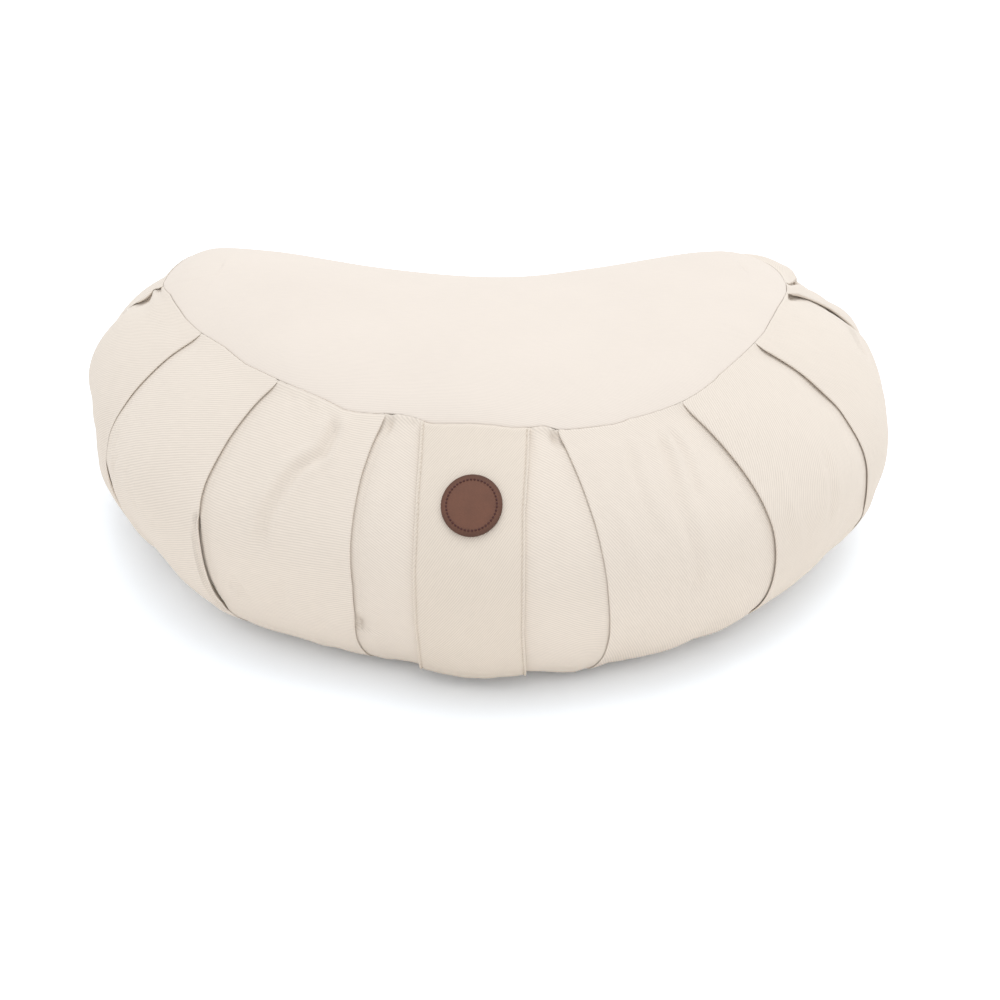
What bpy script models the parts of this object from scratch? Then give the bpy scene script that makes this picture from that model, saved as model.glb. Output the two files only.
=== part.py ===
"""Crescent meditation cushion: a filled cotton cushion with a crescent top, a pleated side wall,
a flat crescent base, a sewn-on front band and a round leather badge.

Metres, +Z up. The origin is on the floor under the middle of the cushion's width and depth.
The front of the cushion, with the band, looks towards -Y, and the hollow inner curve towards +Y.
"""
import bisect
import functools
import math

import bmesh
import bpy
import numpy as np
from mathutils import Vector

MM = 0.001

# Driving sizes, in millimetres.
CLOTH = 1.5            # a panel of heavy twill, as built
GAP = 0.3              # clearance between pieces that touch
BELLY_HEIGHT = 69.0    # height of the widest part of the side wall
CROWN = 16.0           # rise of the top over its seam, in the middle
CROWN_REACH = 25.0     # distance from the seam over which the top rises
TUCK = 0.89            # share of the belly that the wall draws in again at the base seam
LIP = 1.8              # thickness of the folded edge of a pleat
BILLOW = 3.0           # swell of the cloth between two pleats
SHIFT = (-0.9, -4.1)   # moves the outline so that the origin is under the middle of the box

# The top seam, counterclockwise from the middle of the front.
# Columns: x, y, height of the seam, belly (how far the wall stands out below the seam).
SEAM = [
    (-1, -108, 131, 54),
    (63, -98, 127, 54),
    (111, -60, 130, 61),
    (146, -4, 132, 68),
    (167, 57, 128, 57),
    (164, 116, 118, 50),
    (126, 129, 116, 40),
    (61, 105, 119, 43),
    (6, 79, 127, 43),
    (-54, 91, 129, 43),
    (-116, 119, 129, 42),
    (-160, 118, 131, 44),
    (-175, 66, 133, 49),
    (-147, 0, 133, 58),
    (-110, -55, 134, 62),
    (-66, -88, 130, 52),
]

# The wall's section as two curves with handles, in shares of the belly and of the height:
# from the top seam out to the belly, and from the belly in to the base seam.
UPPER_WALL = ((0.0, 1.0), (0.29, 0.83), (1.0, 0.47), (1.0, 0.0))
LOWER_WALL = ((1.0, 0.0), (1.0, -0.575), (1.0 - TUCK * 0.455, -1.0), (1.0 - TUCK, -1.0))

# The knife pleats, by their place along the seam from the middle of the front, +X side positive.
# Columns: place at the top seam, at the belly, at the base seam, height of the folded edge,
# way the folded edge points along the seam.
PLEATS = [
    (-450, -452, -448, 4.0, 1),
    (-392, -396, -392, 4.0, 1),
    (-328, -334, -330, 4.5, 1),
    (-265, -277, -268, 6.5, 1),
    (-197, -210, -204, 5.0, 1),
    (-123, -120, -118, 5.0, 1),
    (-59, -57, -58, 4.0, 1),
    (27, 38, 36, 4.5, -1),
    (96, 104, 110, 5.0, -1),
    (170, 170, 177, 5.5, -1),
    (240, 266, 258, 6.5, -1),
    (304, 314, 309, 4.5, -1),
    (368, 374, 370, 4.0, -1),
    (436, 440, 436, 4.0, -1),
]

# The front band and the badge on it.
BAND_CENTRE_X = -15.0    # the band hangs straight down from here on the top seam
BAND_WIDTH_TOP = 52.0
BAND_WIDTH_BASE = 50.0
BAND_START = 0.015       # ends of the band as shares of the wall from top seam to base seam
BAND_END = 0.88
BADGE_RADIUS = 15.0
BADGE_THICKNESS = 2.0
BADGE_DROP = 42.0        # from the top seam to the badge's centre, along the wall

# Fineness of the solids.
SPAN_STEPS = 24          # outline points between two rows of SEAM
WALL_ROWS = 18
PANEL_COLUMNS = (0.07, 0.24, 0.5, 0.76, 0.93)
CAP_RINGS = (0.10, 0.26, 0.48, 0.72)

# Colours (linear) of the cloth and the leather.
TWILL = (0.80, 0.73, 0.65)
LEATHER = (0.19, 0.095, 0.07)


def closed_spline(rows, steps):
    """Catmull-Rom curve through the rows, as an array with the same columns."""
    rows = np.array(rows, dtype=float)
    before, after, beyond = np.roll(rows, 1, 0), np.roll(rows, -1, 0), np.roll(rows, -2, 0)
    spans = []
    for t in np.arange(steps) / steps:
        spans.append(0.5 * (
            2 * rows
            + (after - before) * t
            + (2 * before - 5 * rows + 4 * after - beyond) * t ** 2
            + (3 * rows - before - 3 * after + beyond) * t ** 3
        ))
    return np.stack(spans, axis=1).reshape(-1, rows.shape[1])


SEAM_CURVE = closed_spline(SEAM, SPAN_STEPS)
SEAM_CURVE[:, :2] += SHIFT
SEAM_CURVE = np.vstack([SEAM_CURVE, SEAM_CURVE[:1]])
SEAM_STEPS = np.hypot(*np.diff(SEAM_CURVE[:, :2], axis=0).T)
SEAM_PLACES = np.concatenate([[0.0], np.cumsum(SEAM_STEPS)]).tolist()
SEAM_LENGTH = SEAM_PLACES[-1]
SEAM_PLAN = SEAM_CURVE[:, :2].copy()
SEAM_CURVE = SEAM_CURVE.tolist()


def seam_at(place):
    """x, y, height and belly of the seam at a place along it."""
    place %= SEAM_LENGTH
    step = bisect.bisect_right(SEAM_PLACES, place) - 1
    share = (place - SEAM_PLACES[step]) / (SEAM_PLACES[step + 1] - SEAM_PLACES[step])
    return [a + (b - a) * share for a, b in zip(SEAM_CURVE[step], SEAM_CURVE[step + 1])]


@functools.cache
def outward_at(place):
    """Unit vector in plan that points away from the cushion."""
    ahead, behind = seam_at(place + 3.0), seam_at(place - 3.0)
    along = Vector((ahead[0] - behind[0], ahead[1] - behind[1])).normalized()
    return Vector((along.y, -along.x))


def bezier(handles, t):
    """Point of a cubic curve from its four handles."""
    weights = ((1 - t) ** 3, 3 * t * (1 - t) ** 2, 3 * t * t * (1 - t), t ** 3)
    return [sum(w * h[k] for w, h in zip(weights, handles)) for k in range(2)]


def wall_base(place, down):
    """Point of the smooth wall, without pleats, in millimetres; down is 0 at the top seam, 1 at the base."""
    x, y, height, belly = seam_at(place)
    if down < 0.5:
        out, level = bezier(UPPER_WALL, 2 * down)
        z = BELLY_HEIGHT + (height - BELLY_HEIGHT) * level
    else:
        out, level = bezier(LOWER_WALL, 2 * down - 1)
        z = BELLY_HEIGHT + (BELLY_HEIGHT - CLOTH - GAP) * level
    normal = outward_at(place)
    return Vector((x + normal.x * belly * out, y + normal.y * belly * out, z))


def wall_point(place, down, lift):
    """Point of the wall raised by lift along the wall's own normal, in millimetres."""
    point = wall_base(place, down)
    if lift == 0:
        return point
    across = wall_base(place + 1.0, down) - wall_base(place - 1.0, down)
    fall = wall_base(place, min(down + 0.02, 1.0)) - wall_base(place, max(down - 0.02, 0.0))
    return point + fall.cross(across).normalized() * lift


def smooth(low, high, value):
    """0 below low, 1 above high, and a soft step between them."""
    share = min(max((value - low) / (high - low), 0.0), 1.0)
    return share * share * (3 - 2 * share)


def pleat_strength(down):
    """Pleats are flat in the two seams and full over the belly."""
    return 0.15 + 0.85 * smooth(0.0, 0.28, down) * (1 - 0.8 * smooth(0.72, 1.0, down))


def pleat_place(pleat, down):
    """Place along the seam of the folded edge at a height of the wall."""
    at_seam, at_belly, at_base = pleat[:3]
    early = at_seam * (1 - 2 * down) * (1 - down)
    middle = at_belly * 4 * down * (1 - down)
    late = at_base * down * (2 * down - 1)
    return early + middle + late


def pleat_columns(pleat):
    """The four columns of a folded edge: under cloth, slot, under the lip, lip."""
    step, points = pleat[3], pleat[4]

    def column(spread, tuck, sunk):
        def at(down):
            strength = pleat_strength(down)
            opened = smooth(0.0, 0.12, down) * (1 - smooth(0.88, 1.0, down))
            shift = spread * (1 - opened) - points * tuck * opened
            return pleat_place(pleat, down) + shift, -sunk * strength

        return at

    edge = [
        column(1.2 * points, 0.0, step),
        column(0.4 * points, step, step - 0.6),
        column(-0.4 * points, 0.4, min(LIP, 0.6 * step)),
        column(-1.2 * points, 0.0, 0.0),
    ]
    return edge if points < 0 else edge[::-1]


def panel_columns(left, right):
    """Columns of the cloth between two pleats."""
    sunk_left = left[3] if left[4] > 0 else 0.0
    sunk_right = right[3] if right[4] < 0 else 0.0
    turn = SEAM_LENGTH if right[0] < left[0] else 0.0

    def column(share):
        def at(down):
            start = pleat_place(left, down)
            end = pleat_place(right, down) + turn
            dip = sunk_left * max(1 - 2 * share, 0) ** 2 + sunk_right * max(2 * share - 1, 0) ** 2
            swell = BILLOW * math.sin(math.pi * share)
            return start + (end - start) * share, (swell - dip) * pleat_strength(down)

        return at

    return [column(share) for share in PANEL_COLUMNS]


def wall_columns():
    """All columns of the wall, once around the cushion."""
    columns = []
    for left, right in zip(PLEATS, PLEATS[1:] + PLEATS[:1]):
        columns += pleat_columns(left) + panel_columns(left, right)
    return columns


COLUMNS = wall_columns()

# The ribs of the crescent run from the front seam to the inner seam. They meet the seam's two
# tips at the horns, and the caps are drawn in to the middle line of the ribs.
TIP_RIGHT = 292.0
TIP_LEFT = 692.0
SPINE_END = 0.14


def spine_at(place):
    """Point in plan on the crescent's middle line that belongs to a place on the seam."""
    place = place % SEAM_LENGTH
    front_length = TIP_RIGHT + SEAM_LENGTH - TIP_LEFT
    if TIP_RIGHT < place < TIP_LEFT:
        share = (TIP_LEFT - place) / (TIP_LEFT - TIP_RIGHT)
    else:
        share = ((place - TIP_LEFT) % SEAM_LENGTH) / front_length
    share = min(max(share, SPINE_END), 1 - SPINE_END)
    front = seam_at(TIP_LEFT + share * front_length)
    inner = seam_at(TIP_LEFT - share * (TIP_LEFT - TIP_RIGHT))
    return [(a + b) / 2 for a, b in zip(front, inner)]


def cap_point(place, share, edge, base):
    """Point of the crowned top or the flat base, at a share of the way from edge to spine."""
    spine = spine_at(place)
    start = Vector((edge.x, edge.y))
    centre = Vector((spine[0], spine[1]))
    spot = start.lerp(centre, share)
    if base:
        return Vector((spot.x, spot.y, edge.z))
    inset = np.hypot(*(SEAM_PLAN - spot).T).min()
    height = edge.z + (spine[2] - edge.z) * share
    return Vector((spot.x, spot.y, height + CROWN * (1 - math.exp(-inset / CROWN_REACH))))


def material(name, colour, roughness):
    made = bpy.data.materials.new(name)
    made.use_nodes = True
    shader = made.node_tree.nodes["Principled BSDF"]
    shader.inputs["Base Color"].default_value = (*colour, 1.0)
    shader.inputs["Roughness"].default_value = roughness
    shader.inputs["Metallic"].default_value = 0.0
    return made


def finish(mesh, name, colour, roughness, collection):
    """Turns the bmesh, in millimetres, into an object in metres."""
    bmesh.ops.scale(mesh, vec=(MM, MM, MM), verts=mesh.verts)
    data = bpy.data.meshes.new(name)
    mesh.to_mesh(data)
    mesh.free()
    data.materials.append(material(name, colour, roughness))
    data.shade_smooth()
    data.set_sharp_from_angle(angle=math.radians(40))
    piece = bpy.data.objects.new(name, data)
    collection.objects.link(piece)
    return piece


def solidify(piece, thickness, direction):
    shell = piece.modifiers.new("Thickness", "SOLIDIFY")
    shell.thickness = thickness * MM
    shell.offset = direction
    shell.use_even_offset = False
    return shell


def cap_rings(mesh, ring, places, shares, base):
    """Extrudes a closed ring of vertices inward over a cap, and fills the middle."""
    edges = {vert: vert.co.copy() for vert in ring}
    source = {vert: vert for vert in ring}
    loop = list(ring)
    for share in shares:
        rim = [mesh.edges.get((a, b)) for a, b in zip(loop, loop[1:] + loop[:1])]
        made = bmesh.ops.extrude_edge_only(mesh, edges=rim)["geom"]
        fresh = {item for item in made if isinstance(item, bmesh.types.BMVert)}
        following = []
        for vert in loop:
            child = next(e.other_vert(vert) for e in vert.link_edges if e.other_vert(vert) in fresh)
            source[child] = source[vert]
            start = edges[source[vert]]
            child.co = cap_point(places[source[vert]], share, start, base)
            following.append(child)
        loop = following
    mesh.faces.new(loop)


def make_filled_wall(collection):
    """The stuffed body: a strip of cloth laid in pleats, wrapped round and closed by two caps."""
    rows = [row / WALL_ROWS for row in range(WALL_ROWS + 1)]
    mesh = bmesh.new()
    bmesh.ops.create_grid(mesh, x_segments=len(COLUMNS), y_segments=WALL_ROWS, size=1.0)
    mesh.verts.ensure_lookup_table()
    strip, places = {}, {}
    for vert in mesh.verts:
        column = round((vert.co.x + 1) / 2 * len(COLUMNS))
        row = round((1 - vert.co.y) / 2 * WALL_ROWS)
        place, lift = COLUMNS[column % len(COLUMNS)](rows[row])
        vert.co = wall_point(place, rows[row], lift if 0 < row < WALL_ROWS else 0.0)
        strip[column, row] = vert
        places[vert] = place
    ends = {strip[len(COLUMNS), row]: strip[0, row] for row in range(WALL_ROWS + 1)}
    bmesh.ops.weld_verts(mesh, targetmap=ends)
    for row, shares, base in ((0, CAP_RINGS, False), (WALL_ROWS, (0.3,), True)):
        ring = [strip[column, row] for column in range(len(COLUMNS))]
        cap_rings(mesh, ring, places, shares, base)
    bmesh.ops.recalc_face_normals(mesh, faces=mesh.faces)
    bmesh.ops.triangulate(mesh, faces=mesh.faces)
    return finish(mesh, "filled_wall", TWILL, 0.9, collection)


def seam_ring(mesh, down, height):
    """A ring of vertices on the top or base seam, with the place of each."""
    ring, places = [], {}
    for column in COLUMNS:
        place = column(down)[0]
        spot = wall_base(place, down)
        vert = mesh.verts.new((spot.x, spot.y, spot.z if height is None else height))
        places[vert] = place
        ring.append(vert)
    for a, b in zip(ring, ring[1:] + ring[:1]):
        mesh.edges.new((a, b))
    return ring, places


def make_top_panel(collection):
    """The crowned crescent of cloth over the filling, sewn in at the top seam."""
    mesh = bmesh.new()
    ring, places = seam_ring(mesh, 0.0, None)
    cap_rings(mesh, ring, places, CAP_RINGS, False)
    bmesh.ops.translate(mesh, vec=(0, 0, GAP), verts=mesh.verts)
    bmesh.ops.recalc_face_normals(mesh, faces=mesh.faces)
    if sum(face.normal.z for face in mesh.faces) < 0:
        bmesh.ops.reverse_faces(mesh, faces=mesh.faces)
    bmesh.ops.triangulate(mesh, faces=mesh.faces)
    piece = finish(mesh, "top_panel", TWILL, 0.9, collection)
    solidify(piece, CLOTH, 1.0)
    return piece


def make_base_panel(collection):
    """The flat crescent of cloth that lies on the floor."""
    mesh = bmesh.new()
    ring, places = seam_ring(mesh, 1.0, 0.0)
    cap_rings(mesh, ring, places, (0.3,), True)
    bmesh.ops.recalc_face_normals(mesh, faces=mesh.faces)
    if sum(face.normal.z for face in mesh.faces) < 0:
        bmesh.ops.reverse_faces(mesh, faces=mesh.faces)
    piece = finish(mesh, "base_panel", TWILL, 0.9, collection)
    solidify(piece, CLOTH, 1.0)
    return piece


def place_at_x(x, down):
    """Place on the front seam below which the smooth wall has this x."""
    low, high = -80.0, 80.0
    for _ in range(16):
        middle = (low + high) / 2
        if wall_base(middle, down).x < x:
            low = middle
        else:
            high = middle
    return middle


def front_lift(place, down):
    """How far the middle front panel stands off the smooth wall."""
    left = next(p for p in reversed(PLEATS) if p[4] > 0)
    right = next(p for p in PLEATS if p[4] < 0)
    start, end = pleat_place(left, down), pleat_place(right, down)
    share = min(max((place - start) / (end - start), 0.0), 1.0)
    steps = (0.0,) + PANEL_COLUMNS + (1.0,)
    heights = []
    for step in steps:
        dip = left[3] * max(1 - 2 * step, 0) ** 2 + right[3] * max(2 * step - 1, 0) ** 2
        swell = BILLOW * math.sin(math.pi * step)
        heights.append((swell - dip) * pleat_strength(down))
    return float(np.interp(share, steps, heights))


def band_point(side, down, lift):
    """Point on the front band: side from -1 to 1 across it."""
    width = BAND_WIDTH_TOP + (BAND_WIDTH_BASE - BAND_WIDTH_TOP) * down
    place = place_at_x(BAND_CENTRE_X + side * width / 2, down)
    return wall_point(place, down, front_lift(place, down) + lift)


def make_front_band(collection):
    """A straight strip with turned edges, sewn down the front from the top seam."""
    across, along = 8, 20
    mesh = bmesh.new()
    bmesh.ops.create_grid(mesh, x_segments=across, y_segments=along, size=1.0)
    for vert in mesh.verts:
        down = BAND_START + (BAND_END - BAND_START) * (1 - vert.co.y) / 2
        vert.co = band_point(vert.co.x, down, 2 * GAP)
    bmesh.ops.triangulate(mesh, faces=mesh.faces)
    if mesh.faces[:][0].normal.y > 0:
        bmesh.ops.reverse_faces(mesh, faces=mesh.faces)
    piece = finish(mesh, "front_band", TWILL, 0.9, collection)
    solidify(piece, CLOTH, 1.0)
    return piece


@functools.cache
def down_at_drop(drop):
    """Share of the wall at a distance below the top seam, measured along the wall."""
    length, down, step = 0.0, 0.0, 0.005
    last = band_point(0.0, down, 0.0)
    while length < drop:
        down += step
        point = band_point(0.0, down, 0.0)
        length += (point - last).length
        last = point
    return down


def make_leather_patch(collection):
    """A flat-cut round badge that follows the band it is sewn on."""
    centre_down = down_at_drop(BADGE_DROP)
    centre = band_point(0.0, centre_down, 0.0)
    across = (band_point(0.5, centre_down, 0.0) - centre).normalized()
    fall = band_point(0.0, centre_down + 0.05, 0.0) - band_point(0.0, centre_down - 0.05, 0.0)
    fall = (fall - across * fall.dot(across)).normalized()
    outward = fall.cross(across).normalized()
    if outward.y > 0:
        outward = -outward
    mesh = bmesh.new()
    bmesh.ops.create_circle(mesh, cap_ends=True, cap_tris=True, segments=32, radius=BADGE_RADIUS)
    bmesh.ops.subdivide_edges(
        mesh,
        edges=[e for e in mesh.edges if any(v.co.length < 1e-4 for v in e.verts)],
        cuts=2,
        use_grid_fill=False,
    )
    top = CLOTH + 3 * GAP
    slope = (down_at_drop(BADGE_DROP + BADGE_RADIUS) - centre_down) / BADGE_RADIUS
    for vert in mesh.verts:
        flat = vert.co.copy()
        spot = centre + across * flat.x - fall * flat.y
        down = centre_down - flat.y * slope
        place = place_at_x(spot.x, down)
        vert.co = wall_point(place, down, front_lift(place, down) + top)
    bmesh.ops.triangulate(mesh, faces=mesh.faces)
    bmesh.ops.recalc_face_normals(mesh, faces=mesh.faces)
    if sum(face.normal.y for face in mesh.faces) > 0:
        bmesh.ops.reverse_faces(mesh, faces=mesh.faces)
    piece = finish(mesh, "leather_patch", LEATHER, 0.6, collection)
    solidify(piece, BADGE_THICKNESS, 1.0)
    return piece


def main():
    for old in list(bpy.data.objects):
        bpy.data.objects.remove(old, do_unlink=True)
    collection = bpy.data.collections.new("crescent_cushion")
    bpy.context.scene.collection.children.link(collection)
    make_filled_wall(collection)
    make_top_panel(collection)
    make_base_panel(collection)
    make_front_band(collection)
    make_leather_patch(collection)


main()
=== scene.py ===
# %% [markdown]
# # A crescent meditation cushion
#
# This file dresses a plain solid model of a meditation cushion in cloth and leather. The cushion
# is sewn from five pieces: a crescent top, a long side wall laid in pleats, a crescent base, a band
# down the front, and a round leather badge on the band. The filling pushes the wall out into a
# belly.
#
# The solid model comes first. It is the frame that every piece here is fitted to.

import math
from contextlib import contextmanager

import bmesh
import bpy
import numpy as np
from mathutils import Matrix, Vector


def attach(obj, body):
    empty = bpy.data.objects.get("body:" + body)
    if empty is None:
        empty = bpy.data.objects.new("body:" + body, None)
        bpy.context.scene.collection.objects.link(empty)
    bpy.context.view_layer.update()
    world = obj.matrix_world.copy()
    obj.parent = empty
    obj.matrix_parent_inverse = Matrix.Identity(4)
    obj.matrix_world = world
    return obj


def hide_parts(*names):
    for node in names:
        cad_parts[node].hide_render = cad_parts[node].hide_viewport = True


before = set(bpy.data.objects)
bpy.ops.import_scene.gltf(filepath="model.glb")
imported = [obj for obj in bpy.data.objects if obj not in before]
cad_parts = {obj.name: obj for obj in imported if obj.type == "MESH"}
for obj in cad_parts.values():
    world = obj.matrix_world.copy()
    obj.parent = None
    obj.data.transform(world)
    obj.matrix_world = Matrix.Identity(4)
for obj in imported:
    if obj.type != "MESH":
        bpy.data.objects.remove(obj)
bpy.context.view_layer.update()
bpy.ops.object.select_all(action="DESELECT")

# %% [markdown]
# ## The seam that everything hangs on
#
# A pattern cutter thinks of this cushion as one closed line, the top seam, with a section of wall
# hanging from it. The line is given by sixteen points, and a smooth curve runs through them. Each
# point also says how high the seam lies there and how far the wall stands out below it, so one
# short table holds the whole shape. All sizes below are in millimetres.

# %% The seam's table
MM = 0.001                          # the tables are in millimetres, Blender works in metres
CLOTH, GAP = 1.5, 0.3               # room for the base cloth, and the air above it
BELLY_HEIGHT = 69.0                 # where the wall stands out furthest
TUCK = 0.89                         # share of the belly by which the foot is drawn in
CROWN, CROWN_REACH = 16.0, 25.0     # rise of the top, and how far in from the seam it takes
BILLOW = 3.0                        # how far a panel swells out between its pleats
SHIFT = (-0.9, -4.1)                # brings the table's x and y onto the solid model

# Columns: x, y, height of the seam, belly (how far the wall stands out below the seam).
SEAM = [
    (-1, -108, 131, 54),
    (63, -98, 127, 54),
    (111, -60, 130, 61),
    (146, -4, 132, 68),
    (167, 57, 128, 57),
    (164, 116, 118, 50),
    (126, 129, 116, 40),
    (61, 105, 119, 43),
    (6, 79, 127, 43),
    (-54, 91, 129, 43),
    (-116, 119, 129, 42),
    (-160, 118, 131, 44),
    (-175, 66, 133, 49),
    (-147, 0, 133, 58),
    (-110, -55, 134, 62),
    (-66, -88, 130, 52),
]


def closed_spline(rows, steps):
    """Smooth closed curve through the rows, with the same columns."""
    rows = np.array(rows, dtype=float)
    before, after, beyond = np.roll(rows, 1, 0), np.roll(rows, -1, 0), np.roll(rows, -2, 0)
    spans = []
    for t in np.arange(steps) / steps:
        spans.append(0.5 * (
            2 * rows
            + (after - before) * t
            + (2 * before - 5 * rows + 4 * after - beyond) * t ** 2
            + (3 * rows - before - 3 * after + beyond) * t ** 3
        ))
    return np.stack(spans, axis=1).reshape(-1, rows.shape[1])


seam_curve = closed_spline(SEAM, 96)
seam_curve[:, :2] += SHIFT
seam_curve = np.vstack([seam_curve, seam_curve[:1]])
seam_steps = np.hypot(*np.diff(seam_curve[:, :2], axis=0).T)
seam_places = np.concatenate([[0.0], np.cumsum(seam_steps)])
SEAM_LENGTH = seam_places[-1]
print("top seam, mm round:", round(SEAM_LENGTH, 1))

# %% [markdown]
# ## Where the sewing pulled the seam
#
# A sewn seam never follows its pattern exactly. At each pleat the layers of cloth pull it a little
# in or push it out, and it steps down where the band is caught in. These small pulls slide the seam
# along the slope of the cushion and fade out over two centimetres of cloth on both sides.

# %% Pulls of the seam
# Place along the seam, millimetres outward and down the slope.
SEAM_PULLS = [
    (-345, 0), (-308, 0.1), (-290, 0.6), (-281, 1.1), (-271, 2.4), (-265, 1.6), (-250, -0.9),
    (-230, 0.2), (-219, 1.4), (-206, 1.7), (-198, 1.4), (-187, 0.5), (-174, -0.2), (-150, 1.3),
    (-137, 0.5),
    (-124, 0), (-102, -0.8), (-90, -0.5), (-81.5, 0.8), (-76, 0.5), (-68, -0.7), (-59.5, -2.4),
    (-52, -3.1), (-47, -2.6), (-42.5, -1.9), (-38, 0), (-33, 0.5), (-29, 0), (-15.5, -1.1),
    (-4.5, -0.7), (5, 0.4), (12, -0.2), (19.5, -1.4), (26.5, 0.7), (33, 0.8), (48, 0.1), (57, 0),
    (64.5, -1.4), (79, -1.0), (92, -0.2), (99, 0.2), (109, 0.5), (124, 0.1), (130, -0.8),
    (145, -0.9), (169, 0), (185, 0.9), (201, 0.2), (220, -0.1), (239.5, 1.1), (249, 1.9),
    (260, 2.2), (274, 1.7), (293, 1.7), (313, 0.8), (325, 1.2), (350, 0),
]

PULL_REACH = 11.0                      # a pull fades away from the seam over this distance
SLOPE_OUT, SLOPE_DOWN = 0.84, 0.54     # the way the cushion slopes at the top seam


def centred(places):
    """Places from minus half to plus half of the way round."""
    return (places + SEAM_LENGTH / 2) % SEAM_LENGTH - SEAM_LENGTH / 2


def table_at(rows, at):
    """The value of a (place, value) table at places, on straight lines between its rows."""
    return np.interp(at, *np.array(rows, float).T)


def seam_pull(places, away):
    """How the pulls shift points that lie away from the seam, as x, y, z."""
    pull = table_at(SEAM_PULLS, centred(places)) * np.exp(-away / PULL_REACH)
    nx, ny = outward_at(places)
    return np.stack([SLOPE_OUT * nx * pull, SLOPE_OUT * ny * pull,
                     -SLOPE_DOWN * pull * np.ones_like(nx)], -1)


# %% [markdown]
# ## The wall's section
#
# From the top seam the wall runs out to its belly and then tucks in again to the base seam. Two
# curves with handles, as a drawing program has them, give that section in shares of the belly and
# of the height, so it fits every place on the seam. Everything is worked out for whole arrays of
# points at once, which keeps a fine mesh quick to make.

# %% Points on the smooth wall
UPPER_WALL = ((0.0, 1.0), (0.29, 0.83), (1.0, 0.47), (1.0, 0.0))
LOWER_WALL = ((1.0, 0.0), (1.0, -0.575), (1.0 - TUCK * 0.455, -1.0), (1.0 - TUCK, -1.0))


def seam_at(place):
    """x, y, height and belly of the seam at places along it."""
    place = np.mod(place, SEAM_LENGTH)
    return [np.interp(place, seam_places, seam_curve[:, k]) for k in range(4)]


def outward_at(place):
    """Unit vectors in plan that point away from the cushion."""
    ahead, behind = seam_at(place + 3.0), seam_at(place - 3.0)
    along_x, along_y = ahead[0] - behind[0], ahead[1] - behind[1]
    length = np.hypot(along_x, along_y)
    return along_y / length, -along_x / length


def handles_at(handles, t):
    """Points of a curve with two handles, at shares t of it."""
    weights = ((1 - t) ** 3, 3 * t * (1 - t) ** 2, 3 * t * t * (1 - t), t ** 3)
    return [sum(w * h[k] for w, h in zip(weights, handles)) for k in range(2)]


def wall_base(place, down):
    """Points of the smooth wall; down is 0 at the top seam and 1 at the base seam."""
    place, down = np.broadcast_arrays(np.asarray(place, float), np.asarray(down, float))
    x, y, height, belly = seam_at(place)
    upper, lower = handles_at(UPPER_WALL, 2 * down), handles_at(LOWER_WALL, 2 * down - 1)
    out = np.where(down < 0.5, upper[0], lower[0])
    level = np.where(down < 0.5, upper[1], lower[1])
    reach = np.where(down < 0.5, height - BELLY_HEIGHT, BELLY_HEIGHT - CLOTH - GAP)
    nx, ny = outward_at(place)
    return np.stack([x + nx * belly * out, y + ny * belly * out, BELLY_HEIGHT + reach * level], -1)


def wall_normal(place, down):
    """Unit vectors that stand square on the smooth wall."""
    across = wall_base(place + 1.0, down) - wall_base(place - 1.0, down)
    fall = (wall_base(place, np.minimum(down + 0.02, 1.0))
            - wall_base(place, np.maximum(down - 0.02, 0.0)))
    normal = np.cross(fall, across)
    return normal / np.linalg.norm(normal, axis=-1, keepdims=True)


def wall_point(place, down, lift):
    """Points of the wall raised by lift along the wall's own normal."""
    return wall_base(place, down) + wall_normal(place, down) * np.asarray(lift)[..., None]


# The length of cloth from the top seam down to each share of the wall, all round the cushion.
fine_down = np.linspace(0, 1, 201)
fine_places = np.arange(0.0, SEAM_LENGTH, 5.0)
sections = wall_base(fine_places[:, None], fine_down[None, :])
section_arcs = np.concatenate([
    np.zeros((len(fine_places), 1)),
    np.cumsum(np.linalg.norm(np.diff(sections, axis=1), axis=2), axis=1),
], axis=1)
mean_arc = section_arcs.mean(0)
WALL_ARC = mean_arc[-1]
print("wall cloth from seam to seam, mm:", round(section_arcs[:, -1].min()), "to",
      round(section_arcs[:, -1].max()))

# %% [markdown]
# ## Where the pleats run
#
# The wall is a long strip that is laid in knife pleats, so that it is short at the seams and long
# over the belly. Each pleat is a Z of cloth: the outer panel ends in a folded edge, goes back under
# itself, and comes out again as the next panel. The folded edges all point to the middle of the
# front. Each row below gives the way one edge runs, as places along the seam at distances down the
# wall, and how far the fold stands open there.

# %% The pleats' table
def pleat(points, line, opened, full, tuck=1.0):
    """One pleat of the table: the way its folded edge points along the seam, its line as
    (distance down, place), its opening as (distance down, millimetres), how full its edge is as
    (distance down, share), and how much further than the others it is tucked in."""
    return dict(points=points, line=line, opened=opened, full=full, tuck=tuck)


def plain_pleat(points, top, middle, foot, widest=0.9):
    """An even pleat of the back, by its places at the top seam, over the belly and at the foot."""
    return pleat(points, ((0, top), (88, middle), (178, foot)),
                 ((0, 0.5), (88, widest), (178, 0.5)),
                 ((0, 1.0), (115, 1.0), (132, 0.6), (178, 0.5)))


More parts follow.
